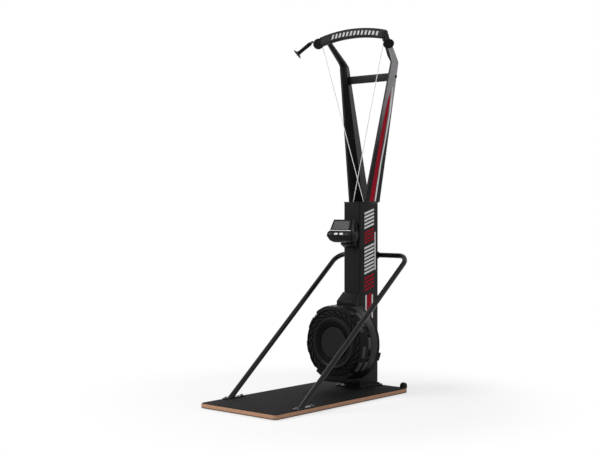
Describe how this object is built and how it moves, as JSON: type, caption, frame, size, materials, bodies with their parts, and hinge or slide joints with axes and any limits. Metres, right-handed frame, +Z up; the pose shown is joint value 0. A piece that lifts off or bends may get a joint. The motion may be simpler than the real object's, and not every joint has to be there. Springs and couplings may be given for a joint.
{
  "type": "ski trainer machine",
  "caption": "Standing ski trainer with a wooden platform, a tall forked column, two hand cords over top pulleys, an air-braked flywheel and a console.",
  "frame": {"origin": "on the floor under the middle of the machine's box", "axes": "+Z up, +X the user's right hand side, +Y from the user towards the column"},
  "size_m": [0.7878, 1.2842, 2.297],
  "materials": {
    "board_wood": "satin",
    "grip_mat": "matte",
    "pad_rubber": "matte",
    "frame_paint": "satin",
    "arm_paint": "satin",
    "brace_paint": "satin",
    "housing_plastic": "satin",
    "cap_plastic": "satin",
    "damper_plastic": "satin",
    "pulley_plastic": "satin",
    "handle_rubber": "matte",
    "wheel_rubber": "matte",
    "steel": "brushed",
    "zinc": "satin",
    "cord_white": "matte",
    "console_plastic": "satin",
    "screen_lens": "gloss",
    "button_white": "satin",
    "button_grey": "satin",
    "circuit_green": "satin"
  },
  "bodies": {
    "frame": {"platform_board": "board_wood", "platform_mat": "grip_mat", "left_front_foot_pad": "pad_rubber", "right_front_foot_pad": "pad_rubber", "left_rear_foot_pad": "pad_rubber", "right_rear_foot_pad": "pad_rubber", "column_base_plate": "frame_paint", "column_tube": "frame_paint", "column_head_plate": "frame_paint", "left_arm": "arm_paint", "right_arm": "arm_paint", "arm_crossbar": "arm_paint", "top_arch_bar": "arm_paint", "left_pull_cord": "cord_white", "right_pull_cord": "cord_white", "left_pulley_housing": "pulley_plastic", "right_pulley_housing": "pulley_plastic", "left_pulley_axle": "steel", "right_pulley_axle": "steel", "support_brace": "brace_paint", "left_brace_foot_plate": "brace_paint", "right_brace_foot_plate": "brace_paint", "brace_saddle": "brace_paint", "brace_clamp": "brace_paint", "fan_front_cover": "housing_plastic", "fan_centre_cap": "cap_plastic", "outlet_grille": "housing_plastic", "fan_rear_housing": "housing_plastic", "fan_mount_hub": "frame_paint", "front_bearing": "steel", "rear_bearing": "steel", "left_rewind_spring_case": "zinc", "right_rewind_spring_case": "zinc", "fan_neck_cover": "housing_plastic", "console_bracket": "frame_paint", "console_hinge_pin": "steel", "rear_wheel_bracket": "brace_paint"},
    "flywheel": {"flywheel_fan": "steel", "drive_shaft": "steel"},
    "damper": {"air_damper": "damper_plastic"},
    "console": {"console_front_case": "console_plastic", "console_screen_lens": "screen_lens", "console_rear_case": "console_plastic", "console_circuit_board": "circuit_green"},
    "reset_button": {"console_reset_button": "button_grey"},
    "mode_button": {"console_mode_button": "button_white"},
    "start_button": {"console_start_button": "button_white"},
    "units_button": {"console_units_button": "button_grey"},
    "left_cord_end": {"left_cord_stop": "handle_rubber"},
    "right_cord_end": {"right_cord_stop": "handle_rubber"},
    "left_handle": {"left_handle_grip": "handle_rubber"},
    "right_handle": {"right_handle_grip": "handle_rubber"},
    "left_pulley": {"left_top_pulley": "pulley_plastic"},
    "right_pulley": {"right_top_pulley": "pulley_plastic"},
    "left_reel": {"left_cord_reel": "pulley_plastic", "left_one_way_clutch": "steel"},
    "right_reel": {"right_cord_reel": "pulley_plastic", "right_one_way_clutch": "steel"},
    "left_wheel": {"left_tipping_wheel": "wheel_rubber"},
    "right_wheel": {"right_tipping_wheel": "wheel_rubber"}
  },
  "joints": [
    {"name": "flywheel_spin", "type": "hinge", "parent": "frame", "child": "flywheel", "pos_m": [0, 0.29785, 0.325], "axis": [0, 1, 0], "continuous": true},
    {"name": "damper_turn", "type": "hinge", "parent": "frame", "child": "damper", "pos_m": [0, 0.37285, 0.325], "axis": [0, -1, 0], "range_deg": [0, 22.5]},
    {"name": "console_tilt", "type": "hinge", "parent": "frame", "child": "console", "pos_m": [0, 0.36535, 0.966], "axis": [1, 0, 0], "range_deg": [-12, 15]},
    {"name": "reset_button_press", "type": "slide", "parent": "console", "child": "reset_button", "axis": [0, 0.9724, -0.2334], "range_m": [0, 0.0015], "stiffness_N_per_m": 300},
    {"name": "mode_button_press", "type": "slide", "parent": "console", "child": "mode_button", "axis": [0, 0.9724, -0.2334], "range_m": [0, 0.0015], "stiffness_N_per_m": 300},
    {"name": "start_button_press", "type": "slide", "parent": "console", "child": "start_button", "axis": [0, 0.9724, -0.2334], "range_m": [0, 0.0015], "stiffness_N_per_m": 300},
    {"name": "units_button_press", "type": "slide", "parent": "console", "child": "units_button", "axis": [0, 0.9724, -0.2334], "range_m": [0, 0.0015], "stiffness_N_per_m": 300},
    {"name": "left_handle_pull", "type": "slide", "parent": "frame", "child": "left_cord_end", "axis": [-0.1002, -0.4208, -0.9016], "range_m": [0, 1.25], "stiffness_N_per_m": 8, "springref_m": -0.625},
    {"name": "left_handle_swing", "type": "hinge", "parent": "left_cord_end", "child": "left_handle", "pos_m": [-0.2972, 0.36465, 2.2372], "axis": [0.6947, -0.7193, 0], "range_deg": [-15, 25]},
    {"name": "left_pulley_turn", "type": "hinge", "parent": "frame", "child": "left_pulley", "pos_m": [-0.268, 0.39285, 2.2253], "axis": [0.6947, -0.7193, 0], "range_deg": [-30, 3300]},
    {"name": "left_reel_turn", "type": "hinge", "parent": "frame", "child": "left_reel", "pos_m": [0, 0.48945, 0.325], "axis": [0, 1, 0], "range_deg": [-30, 2400]},
    {"name": "left_wheel_roll", "type": "hinge", "parent": "frame", "child": "left_wheel", "pos_m": [-0.255, 0.60985, 0.036], "axis": [1, 0, 0], "continuous": true},
    {"name": "right_handle_pull", "type": "slide", "parent": "frame", "child": "right_cord_end", "axis": [0.1002, -0.4208, -0.9016], "range_m": [0, 1.25], "stiffness_N_per_m": 8, "springref_m": -0.625},
    {"name": "right_handle_swing", "type": "hinge", "parent": "right_cord_end", "child": "right_handle", "pos_m": [0.2972, 0.36465, 2.2372], "axis": [0.6947, 0.7193, 0], "range_deg": [-15, 25]},
    {"name": "right_pulley_turn", "type": "hinge", "parent": "frame", "child": "right_pulley", "pos_m": [0.268, 0.39285, 2.2253], "axis": [0.6947, 0.7193, 0], "range_deg": [-30, 3300]},
    {"name": "right_reel_turn", "type": "hinge", "parent": "frame", "child": "right_reel", "pos_m": [0, 0.45345, 0.325], "axis": [0, 1, 0], "range_deg": [-30, 2400]},
    {"name": "right_wheel_roll", "type": "hinge", "parent": "frame", "child": "right_wheel", "pos_m": [0.255, 0.60985, 0.036], "axis": [1, 0, 0], "continuous": true}
  ],
  "couplings": [
    {"joint": "left_pulley_turn", "follows": "left_handle_pull", "rad_per_m": 45.455},
    {"joint": "left_reel_turn", "follows": "left_handle_pull", "rad_per_m": 32.468},
    {"joint": "right_pulley_turn", "follows": "right_handle_pull", "rad_per_m": 45.455},
    {"joint": "right_reel_turn", "follows": "right_handle_pull", "rad_per_m": 32.468}
  ]
}
